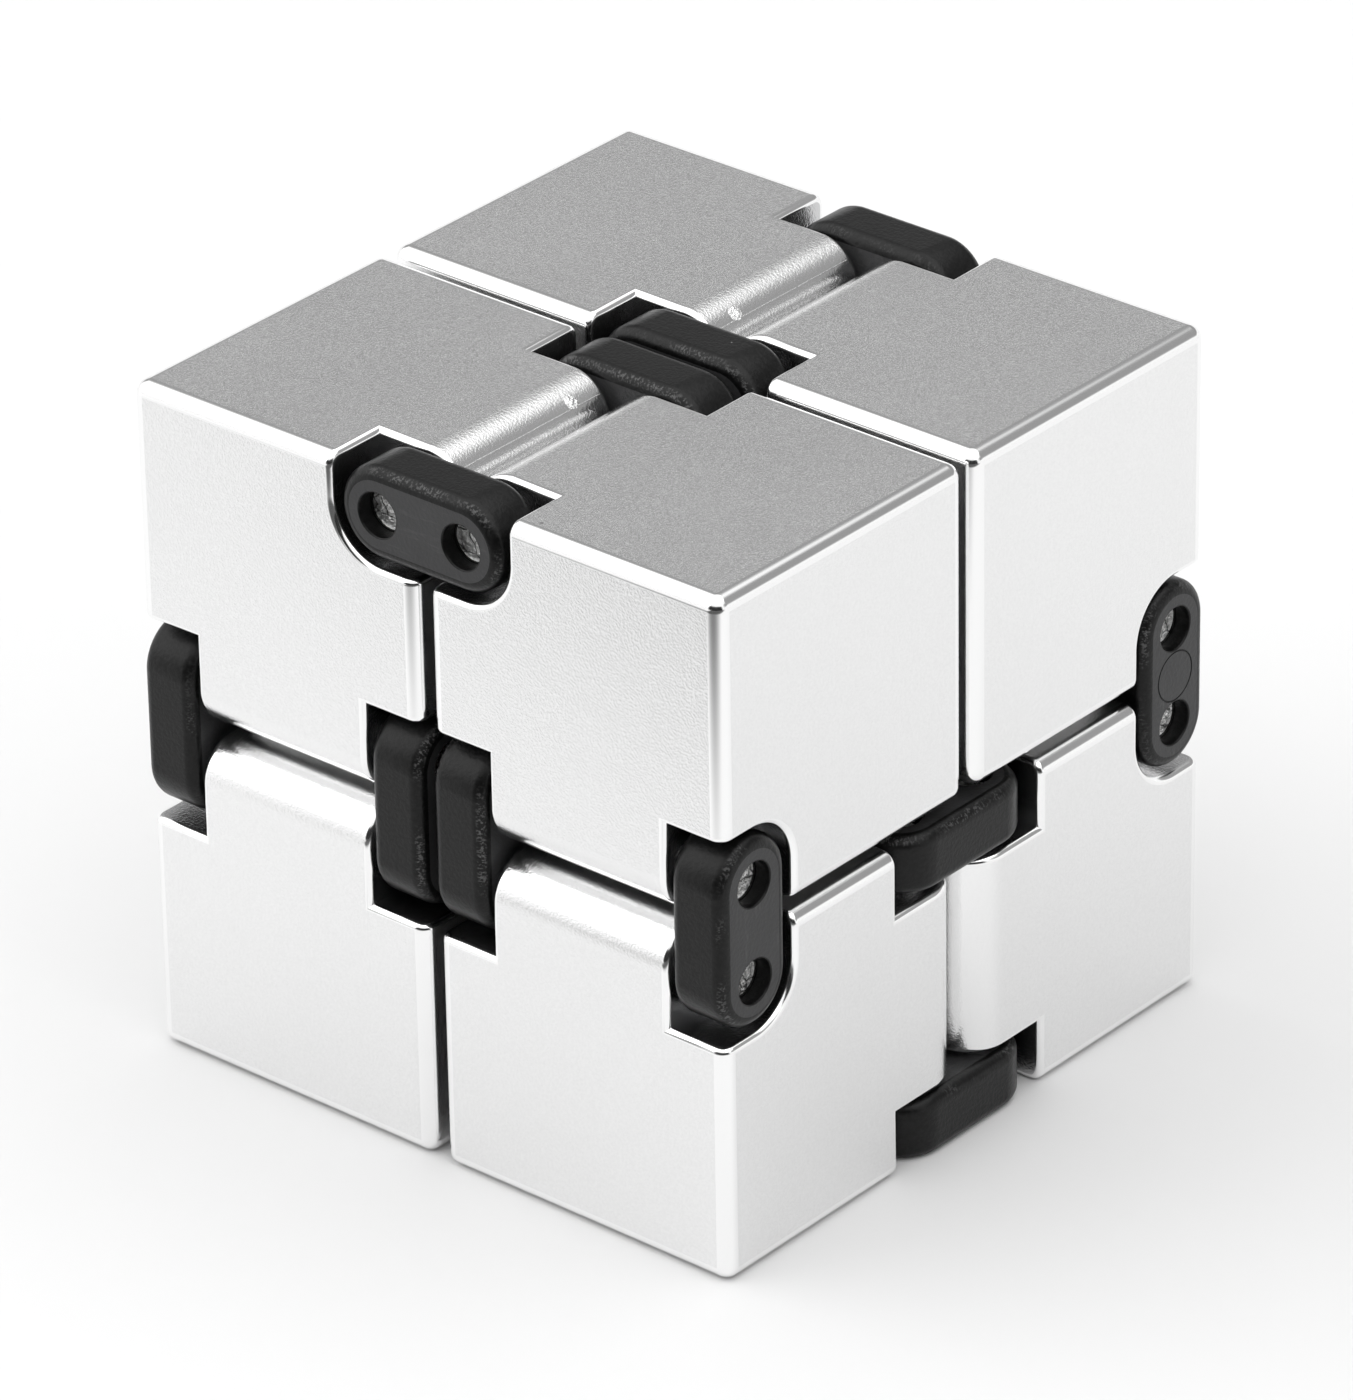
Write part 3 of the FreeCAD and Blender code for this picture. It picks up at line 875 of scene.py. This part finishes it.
def blackPlastic(name, look):
    material, tree, shader = startMaterial(name)
    fine = patternOf(tree, grain, **look["grain"])
    across = patternOf(tree, scuffs, **look["scuffs"])["Scuff"]
    rubbed = patternOf(tree, scuffs, **look["rubbed"])["Scuff"]
    dust = patternOf(tree, specks, **look["dust"])["Speck"]
    cavity, flat = attributeOf(tree, "cavity"), attributeOf(tree, "flatFace")
    crest = rangeOf(tree, attributeOf(tree, "crest"), *look["crest"])
    patchy = rangeOf(tree, fine["Cloud"], *look["patches"])
    # a paler band along the crest of each rounded edge: scuff wear, and partly a painted highlight
    crestWearSheen = mathsOf(tree, "MULTIPLY", mathsOf(tree, "MULTIPLY", crest, patchy), across)
    rub = mathsOf(tree, "MULTIPLY", mathsOf(tree, "MULTIPLY", flat, rubbed), look["rubShare"])
    tone = mixOf(tree, fine["Grain"], look["black"], look["charcoal"], "RGBA")
    faceTone = mixOf(tree, fine["Cloud"], look["faceDark"], look["faceLight"], "RGBA")
    tone = mixOf(tree, flat, tone, faceTone, "RGBA")
    for mask, over in ((rub, "wearAndSheenTone"), (crestWearSheen, "wearAndSheenTone"), (dust, "dustTone"), (cavity, "holeTone")):
        tone = mixOf(tree, mask, tone, look[over], "RGBA")
    rough = mixOf(tree, fine["Cloud"], *look["rough"])
    height = mathsOf(tree, "ADD", fine["Grain"], crestWearSheen)
    bump = add(tree, "ShaderNodeBump", Strength=look["grainBump"], Distance=look["bumpDepth"], Height=height)
    feed(tree, shader["Base Color"], tone)
    feed(tree, shader["Roughness"], mixOf(tree, crestWearSheen, rough, look["wornRough"]))
    feed(tree, shader["Normal"], bump)
    shader["IOR"].default_value = look["ior"]
    return material


# drawn steel rod, with torn ends
steelLook = {
    "grain": {"Grain_Scale": 9000.0, "Cloud_Scale": 5200.0},
    "cracks": {"Scale": 800.0, "Warp": 0.8, "Width": 0.05},
    "drawn": {"Scale": 6000.0, "Stretch_Z": 0.04, "Threshold": 0.55},
    "tornRough": (0.4, 0.65), "drawnRough": (0.24, 0.36), "tear": 0.8, "tearDepth": 0.2 * mm,
    "toneFrom": (0.15, 0.6),
    "drawnMetal": grey(0.7, -0.005), "lineMetal": grey(0.5, -0.005),
    "darkMetal": grey(0.66, -0.01), "lightMetal": grey(1.0, -0.01), "crackShadeTone": grey(0.2, -0.004),
}


def shearedSteel(name, look):
    material, tree, shader = startMaterial(name)
    atEnd = attributeOf(tree, "tornEnd")
    fine = patternOf(tree, grain, **look["grain"])
    torn = patternOf(tree, cracks, **look["cracks"])
    drawn = patternOf(tree, scuffs, **look["drawn"])["Scuff"]
    tone = mathsOf(tree, "MULTIPLY", mathsOf(tree, "ADD", torn["Tone"], fine["Cloud"]), 0.5)
    tone = rangeOf(tree, tone, *look["toneFrom"])
    tone = mixOf(tree, tone, look["darkMetal"], look["lightMetal"], "RGBA")
    # the cracks are darkened in colour: painted shade in the crevices of the torn ends
    tone = mixOf(tree, torn["Crack"], tone, look["crackShadeTone"], "RGBA")
    drawnTone = mixOf(tree, drawn, look["drawnMetal"], look["lineMetal"], "RGBA")
    rough = mixOf(tree, fine["Grain"], *look["tornRough"])
    drawnRough = mixOf(tree, drawn, *look["drawnRough"])
    height = mathsOf(tree, "MULTIPLY", mathsOf(tree, "SUBTRACT", fine["Cloud"], torn["Crack"]), atEnd)
    bump = add(tree, "ShaderNodeBump", Strength=look["tear"], Distance=look["tearDepth"], Height=height)
    feed(tree, shader["Base Color"], mixOf(tree, atEnd, drawnTone, tone, "RGBA"))
    feed(tree, shader["Roughness"], mixOf(tree, atEnd, drawnRough, rough))
    feed(tree, shader["Normal"], bump)
    shader["Metallic"].default_value = 1.0
    return material


plating = satinMetal("satinPlating", blockLook)
coverPlating = satinMetal("coverPlating", coverLook)
plastic = blackPlastic("blackPlastic", plasticLook)
steel = shearedSteel("shearedSteel", steelLook)
print("materials ready")


def addMark(obj, node, material):
    # finishes a piece that rides a node's body: one material over all of it
    obj.data.materials.clear()
    obj.data.materials.append(material)
    for face in obj.data.polygons:
        face.material_index = 0
    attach(obj, bodyOf[node])


def standFor(obj, node, material):
    # finishes a piece that stands for a CAD node
    addMark(obj, node, material)
    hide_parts(node)


blockMesh = buildBlock()
coverMesh = buildCover()
linkMesh = buildLink()
ringedMesh = buildLink(ringed=True)
print("drafts:", len(blockMesh.polygons), len(coverMesh.polygons), len(linkMesh.polygons), "faces")

for node in nodesEnding("_shell"):
    standFor(settle(f"{node}_plated", blockMesh, blockMatrix(node)), node, plating)
for node in nodesEnding("_cover"):
    standFor(settle(f"{node}_plate", coverMesh, blockMatrix(node)), node, coverPlating)
for node in nodesEnding("_link"):
    mesh = ringedMesh if node == link["ringed"] else linkMesh
    standFor(settle(f"{node}_moulded", mesh, linkMatrix(node)), node, plastic)
print("blocks, covers and links placed")

seamParts = seamTree()
scarParts = scarTree()
for seed, node in enumerate(nodesEnding("_shell")):
    bead = settle(f"{node}_partingLine", buildSeam(*seamParts, seed), blockMatrix(node), seam["facet"])
    addMark(bead, node, plating)
    if node in scar["blocks"]:
        mound = settle(f"{node}_gateScar", buildScar(*scarParts, seed), blockMatrix(node), scar["facet"])
        addMark(mound, node, plating)
print("casting marks placed")

pinParts = pinTree()
for seed, node in enumerate(nodesEnding("_pin")):
    mesh, matrix = buildPin(*pinParts, node, seed)
    standFor(settle(f"{node}_rod", mesh, matrix, pin["facet"]), node, steel)
print("pins placed")


camera = {
    "azimuth": 40.6, "elevation": 28.5, "roll": -1.0,            # degrees
    "distance": 500 * mm, "sensor": 36.0, "lens": 241.07, "shiftY": -0.009,
}


def makeCamera():
    azimuth, elevation, roll = (math.radians(camera[label]) for label in ("azimuth", "elevation", "roll"))
    back = Vector((
        math.sin(azimuth) * math.cos(elevation), -math.cos(azimuth) * math.cos(elevation), math.sin(elevation)))
    level = Vector((math.cos(azimuth), math.sin(azimuth), 0.0))
    upright = back.cross(level)
    right = level * math.cos(roll) + upright * math.sin(roll)
    up = upright * math.cos(roll) - level * math.sin(roll)
    data = bpy.data.cameras.new("camera")
    data.sensor_width = camera["sensor"]
    data.lens = camera["lens"]
    data.shift_y = camera["shiftY"]
    data.clip_start = 0.01
    data.clip_end = 50.0
    obj = bpy.data.objects.new("camera", data)
    bpy.context.scene.collection.objects.link(obj)
    obj.matrix_world = placeMatrix(cubeMiddle + back * camera["distance"], right, up, back)
    bpy.context.scene.camera = obj


def compass(degrees):
    turn = math.radians(degrees)
    return (math.cos(turn), math.sin(turn), 0.0)


def alignedWith(tree, direction, towards):
    return addNode(tree, "ShaderNodeVectorMath", direction, towards, operation="DOT_PRODUCT")["Value"]


# A plain pale sheet, with a painted reflection in its colour: seen in the metal only, it turns dark a little
# way in front of the object, as if the sheet ended there.
floor = {
    "size": 8.0, "tone": grey(0.755), "rough": 0.6, "reflectionOnlyDark": grey(0.04),
    "ahead": compass(-78), "edge": (0.058, 0.108), "left": (-0.11, -0.04),
}


def makeFloor():
    bpy.ops.mesh.primitive_plane_add(size=floor["size"], location=(0, 0, 0))
    sheet = bpy.context.object
    sheet.name = "floor"
    material, tree, shader = startMaterial("paleFloor")
    place = addNode(tree, "ShaderNodeTexCoord")["Object"]
    x = add(tree, "ShaderNodeSeparateXYZ", place)
    ahead = rangeOf(tree, alignedWith(tree, place, floor["ahead"]), *floor["edge"])
    beyond = mathsOf(tree, "MULTIPLY", ahead, rangeOf(tree, x, *floor["left"]))
    # painted reflection: the sheet is dark here only for glossy rays
    paintedReflection = mathsOf(tree, "MULTIPLY", beyond, addNode(tree, "ShaderNodeLightPath")["Is Glossy Ray"])
    feed(tree, shader["Base Color"], mixOf(tree, paintedReflection, floor["tone"], floor["reflectionOnlyDark"], "RGBA"))
    shader["Roughness"].default_value = floor["rough"]
    sheet.data.materials.append(material)


# A soft studio all round: white walls, a bright ceiling, a grey gap between them at the rear, a dark opening
# in front and a key light. Pairs of numbers are where each starts and ends.
studio = {
    "wall": 1.05, "ceiling": 1.8, "ceilingFrom": (0.69, 0.87),
    "gap": 0.33, "rearFrom": (0.0, 0.35), "gapLow": (0.17, 0.29), "gapHigh": (0.68, 0.75),
    "opening": 0.03, "openingTowards": compass(-62), "openingWidth": (0.5, 0.66), "openingTop": (0.44, 0.54),
    "key": 2.1, "keyTowards": (-0.64, -0.45, 0.62), "keyWidth": (0.80, 0.93),
}
softbox = {"power": 2.4, "at": (0.6, 0.05, 1.05), "size": 1.2}


def makeSky():
    world = bpy.data.worlds.new("studio")
    bpy.context.scene.world = world
    world.use_nodes = True
    tree = world.node_tree
    direction = addNode(tree, "ShaderNodeTexCoord")["Generated"]
    x, y, z = addNode(tree, "ShaderNodeSeparateXYZ", direction)
    gap = mathsOf(
        tree, "MULTIPLY", rangeOf(tree, z, *studio["gapLow"]), rangeOf(tree, z, *studio["gapHigh"], 1.0, 0.0))
    gap = mathsOf(tree, "MULTIPLY", gap, rangeOf(tree, y, *studio["rearFrom"]))
    opening = rangeOf(tree, alignedWith(tree, direction, studio["openingTowards"]), *studio["openingWidth"])
    opening = mathsOf(tree, "MULTIPLY", opening, rangeOf(tree, z, *studio["openingTop"], 1.0, 0.0))
    key = rangeOf(tree, alignedWith(tree, direction, studio["keyTowards"]), *studio["keyWidth"])
    level = rangeOf(tree, z, *studio["ceilingFrom"], studio["wall"], studio["ceiling"])
    for mask, name in ((gap, "gap"), (opening, "opening"), (key, "key")):
        level = mixOf(tree, mask, level, studio[name])
    background = tree.nodes["Background"].inputs
    feed(tree, background["Strength"], level)
    background["Color"].default_value = grey(1)


def addSoftbox():
    data = bpy.data.lights.new("overhead", "AREA")
    data.shape = "SQUARE"
    data.size = softbox["size"]
    data.energy = softbox["power"]
    obj = bpy.data.objects.new("overhead", data)
    bpy.context.scene.collection.objects.link(obj)
    obj.location = softbox["at"]
    obj.rotation_euler = (-Vector(softbox["at"])).to_track_quat("-Z", "Y").to_euler()


makeCamera()
makeFloor()
makeSky()
addSoftbox()
bpy.context.scene.view_settings.view_transform = "Standard"
print("studio ready")
